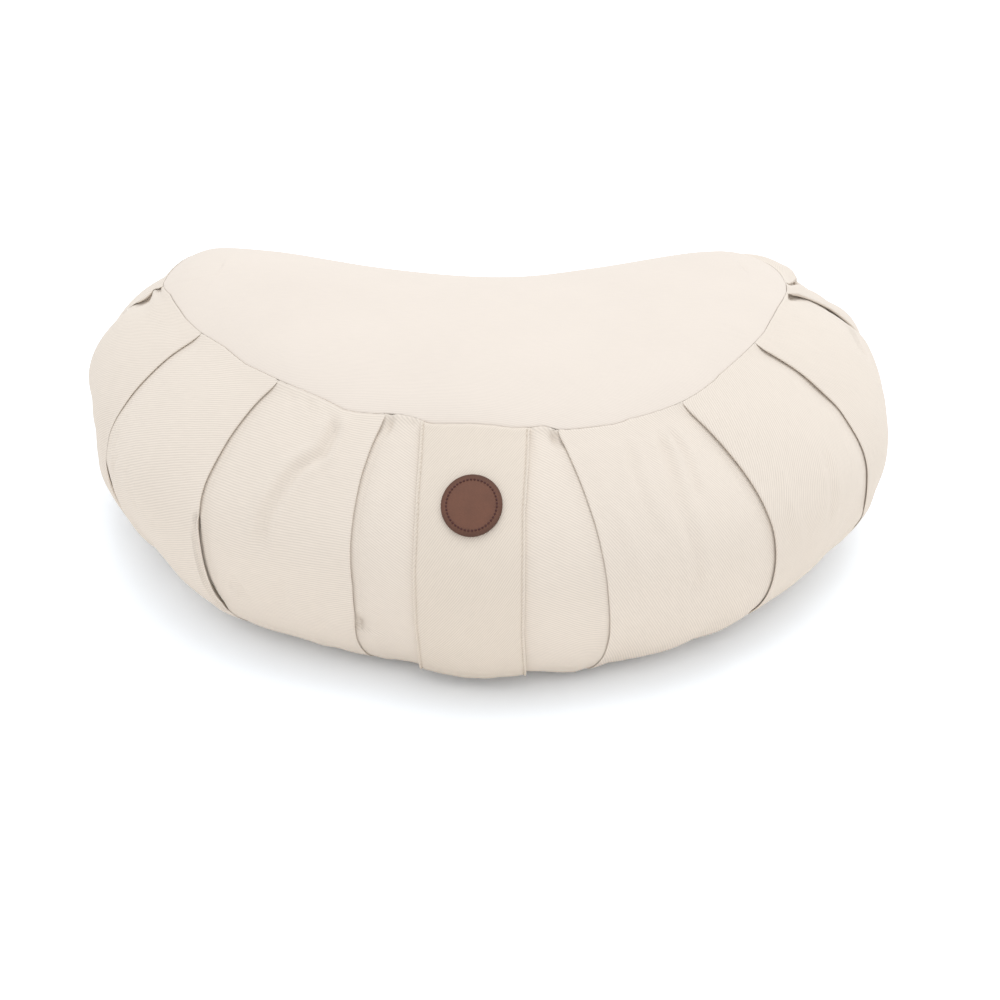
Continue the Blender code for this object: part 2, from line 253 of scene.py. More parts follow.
PLEATS = [
    plain_pleat(1, -450, -452, -448),
    plain_pleat(1, -392, -396, -392),
    plain_pleat(1, -330, -336, -331, 1.2),
    pleat(1,
          line=((0, -266), (4, -269), (9, -273.5), (15, -271), (21, -273.5), (30, -281),
                (42, -284), (88, -286), (178, -268)),
          opened=((0, 0.0), (2.5, 0.4), (3.6, 1.2), (6, 0.8), (8.5, 0.1), (10.5, 0.3),
                  (12.5, 2.2), (16, 1.8), (22, 1.1), (29, 0.4), (33, 0.0), (178, 0.0)),
          full=((0, 0.9), (7, 0.6), (9.5, 0.15), (12, 0.9), (20, 0.9), (29, 0.4), (36, 0.06),
                (178, 0.1))),
    pleat(1,
          line=((0, -198), (9, -200.5), (18, -203), (30, -205.3), (42, -206.6), (54, -207.8),
                (66, -209), (78, -210), (90, -213), (102, -213), (114, -210), (126, -209),
                (178, -206)),
          opened=((0, 0.2), (40, 0.2), (60, 0.1), (84, 0.0), (94, 0.2), (110, 0.8), (140, 0.9),
                  (178, 0.3)),
          full=((0, 0.85), (50, 0.7), (62, 0.32), (72, 0.12), (84, 0.1), (91, 0.5), (110, 1.1),
                (140, 1.1), (178, 0.5))),
    pleat(1,
          line=((0, -123.3), (4, -123.8), (9, -125), (18, -125.8), (30, -125.4), (42, -124.6),
                (54, -123.8), (61, -122.9), (69, -121.1), (78, -119.4), (90, -118.2),
                (102, -117.2), (114, -116.7), (122, -115.9), (130, -116), (178, -117)),
          opened=((0, 0.3), (40, 0.5), (60, 0.6), (76, 0.6), (106, 0.7), (116, 0.5), (126, 0.1),
                  (178, 0.1)),
          full=((0, 1.0), (90, 0.9), (114, 0.7), (124, 0.35), (132, 0.12), (178, 0.2))),
    pleat(1,
          line=((0, -59.2), (9, -60.3), (18, -61.1), (30, -61.2), (42, -60.6), (54, -59.8),
                (66, -58.8), (78, -57.7), (90, -57), (102, -57), (114, -58.1), (126, -59),
                (178, -58)),
          opened=((0, 0.6), (5, 1.2), (12, 0.5), (70, 0.5), (103, 0.5), (107, 1.4), (112, 2.0),
                  (115, 1.8), (117.5, 0.3), (128, 0.2), (178, 0.1)),
          full=((0, 1.0), (112, 1.0), (130, 0.6), (146, 0.3), (178, 0.3))),
    pleat(-1,
          line=((0, 26.2), (4, 26.8), (9, 28.1), (18, 30), (30, 32.2), (42, 33.8), (54, 35.1),
                (66, 36), (78, 36.8), (90, 37.6), (102, 38.4), (114, 39), (126, 38.9),
                (138, 37.9), (178, 33)),
          opened=((0, 0.6), (5, 1.4), (12, 0.2), (70, 0.2), (110, 0.2), (128, 0.1), (178, 0.1)),
          full=((0, 0.8), (110, 0.8), (130, 0.45), (178, 0.4))),
    pleat(-1,
          line=((0, 96.4), (9, 97.4), (18, 98.7), (30, 100.1), (42, 101), (54, 101.5),
                (66, 101.9), (78, 103.1), (90, 104), (102, 104.4), (114, 105.6), (126, 106.9),
                (138, 107.9), (178, 111)),
          opened=((0, 0.2), (9, 0.4), (30, 0.8), (60, 0.7), (90, 0.6), (115, 0.3), (178, 0.2)),
          full=((0, 1.0), (100, 0.9), (122, 0.65), (150, 0.4), (178, 0.3))),
    pleat(-1,
          line=((0, 171.2), (4, 171.6), (9, 173.1), (18, 174.2), (30, 174.7), (42, 174.8),
                (54, 172.5), (66, 171.2), (78, 170.6), (90, 170.5), (102, 171.4), (114, 176),
                (178, 178)),
          opened=((0, 0.4), (7, 0.9), (20, 0.6), (32, 1.0), (44, 0.5), (96, 0.4), (104, 0.1),
                  (178, 0.1)),
          full=((0, 0.9), (40, 0.9), (50, 0.7), (98, 0.65), (110, 0.3), (178, 0.3))),
    pleat(-1,
          line=((0, 245.5), (2, 249.5), (4, 252.3), (9, 259.2), (18, 264.8), (30, 272.5),
                (42, 279.5), (52, 281), (64, 280.5), (100, 273), (178, 259)),
          opened=((0, 0.0), (2.0, 0.1), (3.0, 2.6), (5, 2.4), (9, 1.4), (14, 0.6), (18, 0.3),
                  (30, 0.6), (44, 1.6), (56, 1.6), (68, 1.0), (80, 0.3), (178, 0.3)),
          full=((0, 1.0), (3, 1.5), (10, 1.4), (18, 1.0), (66, 1.0), (80, 0.4), (178, 0.4)),
          tuck=2.2),
    pleat(-1,
          line=((0, 266), (3, 269), (7, 277), (12, 288), (20, 300), (40, 310), (88, 316),
                (178, 310)),
          opened=((0, 0.1), (5, 0.2), (10, 0.8), (88, 0.8), (178, 0.5)),
          full=((0, 0.5), (6, 0.9), (12, 2.0), (20, 1.6), (32, 1.0), (178, 0.6))),
    plain_pleat(-1, 368, 374, 370),
    plain_pleat(-1, 436, 440, 436),
]

LIP = 1.5               # thickness of a folded edge, two layers of cloth


def smooth(low, high, value):
    """0 below low, 1 above high, and a soft step between them."""
    share = np.clip((value - low) / (high - low), 0.0, 1.0)
    return share * share * (3 - 2 * share)


def soft_line(rows, at):
    """Smooth curve through (distance, value) rows, without overshoot, read at distances."""
    xs, ys = np.array(rows, float).T
    slopes = np.diff(ys) / np.diff(xs)
    inner = np.where(slopes[:-1] * slopes[1:] > 0, 2 * slopes[:-1] * slopes[1:]
                     / np.where(slopes[:-1] + slopes[1:] == 0, 1, slopes[:-1] + slopes[1:]), 0.0)
    m = np.concatenate([[slopes[0]], inner, [slopes[-1]]])
    k = np.clip(np.searchsorted(xs, at, side="right") - 1, 0, len(xs) - 2)
    h = xs[k + 1] - xs[k]
    t = np.clip((at - xs[k]) / h, 0, 1)
    return (ys[k] * (2 * t ** 3 - 3 * t ** 2 + 1) + m[k] * h * (t ** 3 - 2 * t ** 2 + t)
            + ys[k + 1] * (3 * t ** 2 - 2 * t ** 3) + m[k + 1] * h * (t ** 3 - t ** 2))


# %% [markdown]
# ## Rows and columns of the strip
#
# The strip is a grid. Its rows lie close together at the two seams, where the cloth turns sharply
# into the stitching, and evenly over the belly. Its columns lie close together across each fold.

# %% Rows of the strip
near_seam = np.array([0.0, 0.25, 0.6, 1.1, 1.7, 2.6, 3.8, 5.3])
FIRST_EVEN, EVEN_ROWS = 7.2, 78
even_rows = np.linspace(FIRST_EVEN, WALL_ARC - FIRST_EVEN, EVEN_ROWS)
row_arc = np.concatenate([near_seam, even_rows, WALL_ARC - near_seam[::-1]])
row_down = np.interp(row_arc, mean_arc, fine_down)
ROWS = len(row_arc)

# Across one fold: along the wall in the direction the edge points, height in shares of the lip,
# and share of the opening that the point drops by.
FOLD = np.array([
    (-2.6, 0.00, 0.0),
    (-1.3, 0.02, 0.0),
    (-0.5, -0.06, 0.0),
    (-0.1, -0.26, 0.0),
    (0.0, -0.50, 0.0),
    (-0.1, -0.74, 0.0),
    (-0.5, -0.93, 0.0),
    (-1.5, -1.00, 0.0),
    (-3.1, -1.00, 0.1),
    (-4.3, -1.04, 0.5),
    (-3.1, -1.08, 0.9),
    (-1.5, -1.10, 1.0),
    (0.3, -1.10, 1.0),
    (0.9, -1.09, 1.0),
    (1.5, -1.08, 1.0),
    (2.1, -1.06, 1.0),
    (2.8, -1.04, 1.0),
])


def layers_at(arc):
    """The layers of a pleat are pressed flat in the two seams."""
    return 0.04 + 0.96 * smooth(-1, 8, arc) * smooth(0, 30, WALL_ARC - arc)


def gape_at(arc):
    """A fold can stand open right below the top seam, but not in the seam itself."""
    return smooth(0, 3, arc) * smooth(0, 30, WALL_ARC - arc)


print("rows:", ROWS, " columns across a fold:", len(FOLD))

# %% Columns of the strip
PITCH = 2.3             # spacing of the columns over a panel's belly
SEAM_PITCH = 0.25       # spacing of a fold's columns in the seams, where it is pressed flat
TUCK_FROM = -1.5        # beyond this, a fold lies behind the next panel
BELLY_STRETCH = 1.35    # how much wider a panel is over the belly than along the seam
FOLD_REACH = 7.0        # how far from a fold its panel is still drawn down
layers, gape = layers_at(row_arc), gape_at(row_arc)
overhang = smooth(0, 1.6, row_arc) * smooth(0, 1.6, WALL_ARC - row_arc)
lines = [soft_line(p["line"], row_arc) for p in PLEATS]
opens = [soft_line(p["opened"], row_arc) for p in PLEATS]
lips = [LIP * soft_line(p["full"], row_arc) for p in PLEATS]
swell_at = 0.15 + 0.85 * smooth(0.0, 0.28, row_down) * (1 - 0.8 * smooth(0.72, 1.0, row_down))

# Each column's places and lifts, row by row, and the pleat it belongs to, or -1 in a panel.
columns, lifts, kinds = [], [], []


def add_fold(k):
    """The columns across pleat k, in the order of their places along the seam."""
    points = PLEATS[k]["points"]
    for rank, (t, h, drop) in enumerate(FOLD if points > 0 else FOLD[::-1]):
        spread = (rank - (len(FOLD) - 1) / 2) * SEAM_PITCH
        if t < TUCK_FROM:
            t *= PLEATS[k]["tuck"]
        columns.append(lines[k] + points * t * overhang + spread * (1 - overhang))
        lifts.append(h * lips[k] * layers - drop * opens[k] * gape)
        kinds.append(k)


def add_panel(left, right, turn):
    """The columns of the cloth between two pleats."""
    sunk = [-FOLD[-1, 1] * lips[k] * layers + opens[k] * gape if PLEATS[k]["points"] == edge
            else 0.0 for k, edge in ((left, 1), (right, -1))]
    start = columns[-1]
    reach = FOLD[-1, 0] if PLEATS[right]["points"] < 0 else -FOLD[0, 0]
    end = lines[right] + turn - reach * overhang
    width = np.mean(end - start) * BELLY_STRETCH
    count = max(10, int(round(width / PITCH)))
    near_folds = np.array([0.6, 1.2, 1.8, 2.5, 3.5]) / (width / BELLY_STRETCH)
    even = np.arange(1, count) / count
    even = even[(even > near_folds[-1] * 1.2) & (even < 1 - near_folds[-1] * 1.2)]
    for share in np.concatenate([near_folds, even, 1 - near_folds[::-1]]):
        dips = 0.0
        for depth, away in zip(sunk, (share, 1 - share)):
            near = np.exp(-away * width / FOLD_REACH)
            dips = dips + depth * (0.5 * near + 0.5 * max(1 - 2 * away, 0) ** 2)
        columns.append(start + (end - start) * share)
        lifts.append(BILLOW * math.sin(math.pi * share) * swell_at - dips)
        kinds.append(-1)


for k in range(len(PLEATS)):
    add_fold(k)
    after = (k + 1) % len(PLEATS)
    add_panel(k, after, SEAM_LENGTH if after == 0 else 0.0)

place = np.array(columns).T            # rows by columns
lift = np.array(lifts).T
down = np.repeat(row_down[:, None], place.shape[1], axis=1)
COLUMNS = place.shape[1]
print("strip:", ROWS, "rows by", COLUMNS, "columns")

# %% [markdown]
# ## Small marks of sewing and filling
#
# A filled cushion is never smooth. The cloth rolls sharply into each seam, the filling leaves low
# lumps, and pulls and soft creases run off the seams. Each mark is a small push along the wall's
# normal. They are added here as plain functions of where a point is, as a sculptor would add them
# with a brush, because a simulation could not put them where they are on the real one.

# %% Grooves, lumps and creases of the wall
# How deep the top seam lies, by place: it is drawn in hard in some stretches and hardly in others.
SEAM_DEPTH = [
    (-300, 0.35), (-200, 0.38), (-150, 0.42), (-100, 0.42), (-92, 0.55), (-62, 0.55), (-56, 0.3),
    (-43, 0.3), (-38, 0.6), (20, 0.55), (25, 0.3), (30, 0.4), (35, 0.55), (58, 0.5), (68, 0.38),
    (100, 0.3), (240, 0.32), (300, 0.35), (400, 0.35),
]
STITCH_STEP = 5.3       # the seam is drawn in a little deeper at every stitch


def groove_at(places, away):
    """Depth of the roll into the top seam for points that lie away from it."""
    at = centred(places)
    dots = 1 + 0.3 * np.sin(at * 2 * math.pi / STITCH_STEP + 3 * np.sin(at / 17))
    return table_at(SEAM_DEPTH, at) * dots * np.exp(-away / 0.5)


def base_groove_at(arcs):
    """Depth of the roll into the base seam."""
    return np.exp(-(WALL_ARC - arcs) / 0.8)


def lumps(points, size, seed):
    """Low, rounded lumps of the filling, between about -1 and 1."""
    turn = np.random.default_rng(seed)
    total = 0.0
    for _ in range(7):
        way = turn.normal(size=3)
        way /= np.linalg.norm(way)
        total = total + np.sin(points @ way * (2 * math.pi / size) * turn.uniform(0.7, 1.3)
                               + turn.uniform(0, 2 * math.pi))
    return total / 3.5


# Soft creases in the cloth: a bent stroke of (place, distance down), half width, depth. A minus is
# a ridge.
CREASES = [
    (((-85, 3), (-81, 13), (-81, 25), (-88, 36), (-91, 48), (-93, 60), (-93, 71), (-91, 83)),
     2.2, 2.6),
    (((-81, 25), (-77, 40)), 2.0, 0.7),
    (((-101, 2), (-94, 10)), 1.8, 0.7),
    (((-112, 2), (-107, 7)), 1.8, 0.45),
    (((-105, 95), (-101, 110)), 1.5, 0.9),
    (((-109, 100), (-105, 114)), 1.3, 0.8),
    (((-87, 89), (-85, 109)), 2.0, 0.7),
    (((-78, 61), (-76, 70)), 2.0, 0.35),
    (((-122.4, 66), (-121.4, 76), (-120.6, 85), (-119.4, 99), (-118.5, 113), (-117.6, 123),
      (-116.8, 132)), 0.6, 1.9),
    (((58, 10), (55, 29), (55, 52), (56, 66)), 1.9, 0.9),
    (((75, 8), (71, 26), (67, 47), (68, 64), (69, 86), (69, 99)), 1.9, 1.5),
    (((80, 8), (80, 24), (77, 38), (75, 50)), 1.7, 1.2),
    (((44, 41), (46, 57), (48, 69), (51, 88)), 2.4, -0.7),
    (((63, 35), (64, 55), (67, 65)), 1.6, 0.4),
    (((118, 45), (113, 65), (114, 78), (118, 96)), 2.2, -0.6),
    (((143, 54), (138, 65), (135, 78), (134, 88)), 2.0, 1.0),
    (((-202, 60), (-200, 76), (-196, 92)), 2.0, -0.65),
    (((-187, 70), (-196, 84), (-206, 99)), 2.2, 0.65),
    (((-175, 71), (-166, 76), (-159, 92)), 2.2, 0.5),
    (((267, 43.3), (246, 43.3), (238, 45.4), (233, 49)), 1.3, 1.8),
]

# How much further out the foot of the wall stands than the even shape: place, millimetres.
FOOT_SWELL = [
    (-245, 0), (-228, 0.4), (-220, 1.2), (-207, 2.6), (-196, 2.0), (-190, 0.9), (-182, -2.0),
    (-172, -3.1), (-165, -3.4), (-158, -3.0), (-150, -2.1), (-142, -0.8), (-135, 0.2),
    (-128, 1.0), (-124, 2.0),
    (-118, 1.8), (-111, 0.8), (-105, -0.4), (-97, -1.8), (-91, -2.1), (-86, -1.6), (-80, -0.6),
    (-73, -0.5), (-68, 0.8), (-62, 1.5), (-56, 1.8), (-50, 1.2), (-46, 0), (-38, -0.4), (-28, 0.3),
    (-14, 1.2), (-6, 0.6), (0, -0.6), (10, -0.9), (16, 0), (21, 1.0), (25, 2.2), (30, 3.1),
    (36, 2.8), (40, 1.9), (45, 0.4), (60, 0), (72, -0.6), (79, -1.4), (85, -0.3), (91, 1.2),
    (96, 2.0), (102, 3.0), (112, 2.3), (117, 1.3), (122, 0.7), (130, 0), (136, -0.9), (145, -1.3),
    (152, -1.8), (158, -0.9), (164, 0.3), (171, 2.6), (178, 3.2), (187, 0.8), (195, -0.4),
    (210, -0.5), (225, 0),
]

# Broad hollows: place, distance down, half width, half height, millimetres.
SWELLS = [
    (-248, 86, 13, 17, -6.0),
    (-258, 88, 15, 22, -4.0),
    (-232, 87, 9, 14, -2.8),
    (226, 78, 22, 15, -3.4),
    (242, 64, 9, 10, -3.0),
    (268, 58, 9, 9, 1.8),
    (282, 20, 8, 8, -2.0),
    (296, 10, 14, 7, 3.6),
    (-300, 22, 16, 18, -4.0),
    (302, 38, 18, 18, -4.2),
    (322, 7, 20, 7, 2.6),
]

# Puckers beside some folds and the band: place, distance down, half width, half height, depth.
PUCKERS = [
    (-56.2, 4.5, 1.7, 3.6, 1.6),
    (24.2, 4.0, 2.0, 2.8, 1.6),
    (-44.5, 2.6, 1.8, 2.0, 1.2),
    (-56.5, 112, 1.0, 3.5, 1.4),
    (12.8, 8, 1.3, 9, 0.9),
]


def stroke_distance(px, py, points):
    """Distance from points of the cloth to a bent stroke, and the share of it they lie at."""
    best, share = np.full(px.shape, 1e9), np.zeros(px.shape)
    for k in range(len(points) - 1):
        (x0, y0), (x1, y1) = points[k], points[k + 1]
        dx, dy = x1 - x0, y1 - y0
        along = np.clip(((px - x0) * dx + (py - y0) * dy) / (dx * dx + dy * dy), 0, 1)
        away = np.hypot(px - x0 - along * dx, py - y0 - along * dy)
        nearer = away < best
        best = np.where(nearer, away, best)
        share = np.where(nearer, (k + along) / (len(points) - 1), share)
    return best, share


def mound(at, arcs, spot, fall, half, tall):
    """A soft round mound that is 1 at its middle."""
    return np.exp(-((at - spot) / half) ** 2 - ((arcs - fall) / tall) ** 2)


def wall_marks(places, arcs, points):
    """Push along the normal from all the small marks."""
    at, rise = centred(places), WALL_ARC - arcs
    push = 0.45 * lumps(points, 62, 3) + 0.16 * lumps(points, 26, 5)
    push = push * smooth(0, 18, arcs) * smooth(0, 18, rise)
    foot = table_at(FOOT_SWELL, at)
    push = push + foot * smooth(72, 108, arcs) * (1 - smooth(WALL_ARC - 22, WALL_ARC - 4, arcs))
    for *where, high in SWELLS:
        push = push + high * mound(at, arcs, *where) * smooth(0, 5, arcs)
    for stroke, half, depth in CREASES:
        away, share = stroke_distance(at, arcs, stroke)
        ends = smooth(0.0, 0.12, share) * smooth(0.0, 0.2, 1 - share)
        rims = 0.45 * np.exp(-((away - 2.2 * half) / half) ** 2)
        push = push - depth * ends * (np.exp(-(away / half) ** 2) - rims)
    for *where, depth in PUCKERS:
        push = push - depth * mound(at, arcs, *where)
    groove = groove_at(places, arcs) + base_groove_at(arcs)
    gathers = 0.10 * np.sin(at * 2 * math.pi / 7.1 + 2 * np.sin(at / 23)) * np.exp(-arcs / 9)
    gathers = gathers + 0.30 * np.sin(at * 2 * math.pi / 9.3) * np.exp(-rise / 14)
    return push - groove + gathers


arcs = np.repeat(row_arc[:, None], COLUMNS, axis=1)
smooth_points = wall_base(place, down)
lift = lift + wall_marks(place, arcs, smooth_points)
wall_grid = wall_point(place, down, lift) + seam_pull(place, arcs)
print("wall reaches, mm:", wall_grid.min((0, 1)).round(1), wall_grid.max((0, 1)).round(1))

# %% [markdown]
# ## From numbers to cloth
#
# Blender's grid primitive already has the right faces, so each cloth starts as a grid with the
# right number of cells, and its vertices are then laid where the shape says. The cloth also keeps
# a flat pattern of itself, a UV map in metres, so that the weave runs true to the cloth and not to
# the room.

# %% Helpers for cloth grids
def select_only(thing):
    """Selects one object and makes it the active one."""
    bpy.ops.object.select_all(action="DESELECT")
    thing.select_set(True)
    bpy.context.view_layer.objects.active = thing


@contextmanager
def edit_mode(piece):
    """Edit mode on one piece, with all of it selected."""
    select_only(piece)
    bpy.ops.object.mode_set(mode="EDIT")
    bpy.ops.mesh.select_all(action="SELECT")
    yield
    bpy.ops.object.mode_set(mode="OBJECT")
    bpy.ops.object.select_all(action="DESELECT")


def new_piece(name):
    """The object that has just been added, with its mesh, under one name."""
    piece = bpy.context.object
    piece.name = piece.data.name = name
    return piece


def vertices_of(piece):
    """Where the vertices of a piece lie, as an array of x, y, z."""
    flat = np.empty(len(piece.data.vertices) * 3)
    piece.data.vertices.foreach_get("co", flat)
    return flat.reshape(-1, 3)


def move_vertices(piece, points):
    """Brings the vertices of a piece to points in millimetres."""
    piece.data.vertices.foreach_set("co", (points * MM).ravel())
    piece.data.update()


def cloth_grid(name, points, pattern):
    """A grid object whose vertices lie at points (rows, columns, 3), in millimetres."""
    rows, across = points.shape[:2]
    bpy.ops.mesh.primitive_grid_add(x_subdivisions=across - 1, y_subdivisions=rows - 1, size=2.0)
    piece = new_piece(name)
    mesh, flat = piece.data, vertices_of(piece)
    column = np.rint((flat[:, 0] + 1) / 2 * (across - 1)).astype(int)
    row = np.rint((1 - flat[:, 1]) / 2 * (rows - 1)).astype(int)
    move_vertices(piece, points[row, column])
    corner_vertex = np.empty(len(mesh.loops), int)
    mesh.loops.foreach_get("vertex_index", corner_vertex)
    layer = mesh.uv_layers.active or mesh.uv_layers.new(name="cloth")
    layer.name = "cloth"
    layer.uv.foreach_set("vector", (pattern[row, column] * MM)[corner_vertex].ravel())
    mesh.update()
    bpy.ops.object.select_all(action="DESELECT")
    return piece


def turn_outward(piece):
    """Points every face of a closed piece away from its inside."""
    with edit_mode(piece):
        bpy.ops.mesh.normals_make_consistent(inside=False)


def thicken(piece, thickness):
    """Gives a sheet its thickness in millimetres, inward from its face, and shades it round."""
    solid = piece.modifiers.new("Thickness", "SOLIDIFY")
    solid.thickness, solid.offset = thickness * MM, -1.0
    select_only(piece)
    bpy.ops.object.modifier_apply(modifier=solid.name)
    bpy.ops.object.select_all(action="DESELECT")
    piece.data.shade_smooth()


def triangles_of(piece):
    """How many triangles a piece has."""
    return sum(len(face.vertices) - 2 for face in piece.data.polygons)


# %% [markdown]
# ## The crown of the top panel
#
# The top panel starts at the seam, rises steeply for two or three centimetres and then runs nearly
# level. Rings of vertices are drawn in from the seam to the middle line of the crescent. The ring
# shape would leave a faint ridge along that middle line, so the heights are relaxed there.

# %% Points of the crowned top
TIP_RIGHT, TIP_LEFT = 292.0, 692.0      # the two horns' tips, as places along the seam
SPINE_END = 0.14                        # the middle line stops this share short of each tip
seam_plan = seam_curve[::4, :2]
ridge_share = np.linspace(0, 1, 261)
front_length = TIP_RIGHT + SEAM_LENGTH - TIP_LEFT
front_places = TIP_LEFT + ridge_share * front_length
inner_places = TIP_LEFT - ridge_share * (TIP_LEFT - TIP_RIGHT)


def spine_at(share):
    """Points of the crescent's middle line."""
    share = np.clip(share, SPINE_END, 1 - SPINE_END)
    front = np.array(seam_at(TIP_LEFT + share * front_length)[:3])
    inner = np.array(seam_at(TIP_LEFT - share * (TIP_LEFT - TIP_RIGHT))[:3])
    return ((front + inner) / 2).T


def inset_at(spots):
    """Distance in plan from points to the seam."""
    flat = spots.reshape(-1, 2)
    start, run = seam_plan[:-1], np.diff(seam_plan, axis=0)
    length = (run ** 2).sum(1)
    nearest = []
    for k in range(0, len(flat), 2000):
        gap = flat[k:k + 2000, None] - start
        along = np.clip((gap * run).sum(2) / length, 0, 1)
        nearest.append(np.hypot(*(gap - along[..., None] * run).transpose(2, 0, 1)).min(1))
    return np.concatenate(nearest).reshape(spots.shape[:-1])


rim_insets = np.array([0.05, 0.3, 0.7, 1.3, 2.3, 3.7, 5.4, 7.6])
RINGS = 32


def crowned(level, inset):
    """Height of the crown over a level, by the distance in from the seam."""
    return level + CROWN * (1 - np.exp(-inset / CROWN_REACH))


def crown_rings(places, spine):
    """Rings from the seam to the spine, (rings, places, 3), and how far in their points lie."""
    x, y, height, _ = seam_at(places)
    start = np.stack([x, y], -1)
    way = spine[:, :2] - start
    length = np.linalg.norm(way, axis=1)
    rim = rim_insets[-1] / length
    inner = rim + (1 - rim) * (np.arange(1, RINGS + 1) / RINGS)[:, None]
    shares = np.concatenate([rim_insets[:, None] / length, inner])
    spots = start + way * shares[..., None]
    inset = inset_at(spots)
    level = crowned(height + (spine[:, 2] - height) * shares, inset)
    return np.concatenate([spots, level[..., None]], -1), inset


spine = spine_at(ridge_share)
front_rings, front_inset = crown_rings(front_places, spine)
inner_rings, inner_inset = crown_rings(inner_places, spine)

# One grid from the front seam over the ridge to the inner seam.
top_grid = np.concatenate([front_rings, inner_rings[-2::-1]])
top_inset = np.concatenate([front_inset, inner_inset[-2::-1]])
hold = smooth(8, 34, top_inset)
for _ in range(60):
    level = top_grid[..., 2]
    # At each horn the front and inner halves meet, so a mirrored column stands in for a neighbour.
    wide = np.concatenate([level[::-1, 1:2], level, level[::-1, -2:-1]], axis=1)
    wide = np.concatenate([wide[:1], wide, wide[-1:]])
    spread = (wide[:-2, 1:-1] + wide[2:, 1:-1] + wide[1:-1, :-2] + wide[1:-1, 2:]) / 4
    top_grid[..., 2] = level + (spread - level) * hold

# Faint pulls run in from the two horns: a bent stroke of (x, y), half width, depth.
TOP_CREASES = [
    (((118, -17), (126, -21), (137, -25)), 1.8, 0.4),
    (((119, -25), (126, -28), (134, -30)), 1.6, 0.35),
    (((-176, 70), (-167, 71), (-158, 72)), 1.8, 0.4),
    (((-176, 65), (-164, 57), (-152, 54)), 1.8, 0.35),
]
for stroke, half, depth in TOP_CREASES:
    away, share = stroke_distance(top_grid[..., 0], top_grid[..., 1], stroke)
    ends = smooth(0, 0.3, share) * smooth(0, 0.3, 1 - share)
    top_grid[..., 2] -= depth * ends * np.exp(-(away / half) ** 2)

# The cloth rolls down into the seam at the rim, square to its own slope.
rim_places = np.concatenate([np.repeat(front_places[None], len(front_rings), 0),
                             np.repeat(inner_places[None], len(inner_rings) - 1, 0)])
rim_x, rim_y = outward_at(rim_places)
roll = groove_at(rim_places, top_inset - 0.05)
top_grid -= roll[..., None] * np.stack([SLOPE_DOWN * rim_x, SLOPE_DOWN * rim_y,
                                        np.full_like(rim_x, SLOPE_OUT)], -1)
top_grid += seam_pull(rim_places, top_inset)
print("top panel:", top_grid.shape[:2], "crown reaches, mm:", round(top_grid[..., 2].max(), 1))

# %% [markdown]
# ## The side wall
#
# The strip is wrapped round the cushion. Its first and last columns lie on each other and are
# merged. Under the top panel and over the base panel the strip carries on inward as two hidden
# caps, so that the stuffed wall is one closed body. A stuffed piece has to be closed, or it has no
# volume.

# %% Make the side wall
TOP_CLOTH = 1.2         # thickness of the top panel
CAP_DEPTH = 2.0         # how far the upper cap lies below the top panel
RIM_DROP = 2.4          # how far the wall runs down behind the top seam before its cap
CAP_LIFT = 0.9          # how far the lower cap lies above the base panel
WELD = 0.000002         # vertices closer than this, in metres, become one
# The column of a fold where one panel's pattern ends and the next begins, by the way it points.
PATTERN_CUT = {1: 9, -1: 5}


def spine_below(places):
    """Point of the middle line that belongs to places on the seam."""
    places = np.mod(places, SEAM_LENGTH)
    on_inner = (places > TIP_RIGHT) & (places < TIP_LEFT)
    share = np.where(on_inner, (TIP_LEFT - places) / (TIP_LEFT - TIP_RIGHT),
                     np.mod(places - TIP_LEFT, SEAM_LENGTH) / front_length)
    return spine_at(share)


rim, foot = np.stack(seam_at(place[0])[:3], -1), wall_grid[-1]
rim_spine, foot_spine = spine_below(place[0]), spine_below(place[-1])
top_cap, base_cap = [], []
for share in (0.8, 0.55, 0.3, 0.12, 0.03):
    ring = rim + (rim_spine - rim) * share
    ring[:, 2] = crowned(ring[:, 2], inset_at(ring[:, :2])) - TOP_CLOTH - CAP_DEPTH
    top_cap.append(ring)
under_rim = wall_grid[0] - np.array([0, 0, RIM_DROP])
for share in (0.04, 0.35, 0.7):
    ring = foot + (foot_spine - foot) * share
    ring[:, 2] = CLOTH + GAP + CAP_LIFT
    base_cap.append(ring)

body_grid = np.concatenate([top_cap, [under_rim], wall_grid, base_cap])
body_grid = np.concatenate([body_grid, body_grid[:, :1]], axis=1)

# The flat pattern of each panel: distance along the cloth from its middle, and distance down it.
steps = np.linalg.norm(np.diff(body_grid, axis=1), axis=2)
along = np.concatenate([np.zeros((len(body_grid), 1)), np.cumsum(steps, axis=1)], axis=1)
kinds = np.array(kinds)
cuts = [int(np.nonzero(kinds == k)[0][PATTERN_CUT[PLEATS[k]["points"]]])
        for k in range(len(PLEATS))]
fall = np.concatenate([np.zeros(len(top_cap) + 1), row_arc, np.full(len(base_cap), WALL_ARC)])
pattern = np.stack([along, np.repeat(-fall[:, None], along.shape[1], 1)], -1)
# The filling pulls each panel its own way, so the ribs slant by other degrees in each.
GRAIN = [20, 20, 20, -35, -38, -24, 0, 27, 62, -60, 80, 80, 20, 20, 20]
for start, end, grain in zip([0] + cuts, cuts + [COLUMNS + 1], np.radians(GRAIN)):
    middle = (start + end) // 2
    panel = pattern[:, start:end] - pattern[:, middle:middle + 1] * (1, 0)
    turn = np.array([[math.cos(grain), math.sin(grain)], [-math.sin(grain), math.cos(grain)]])
    pattern[:, start:end] = panel @ turn

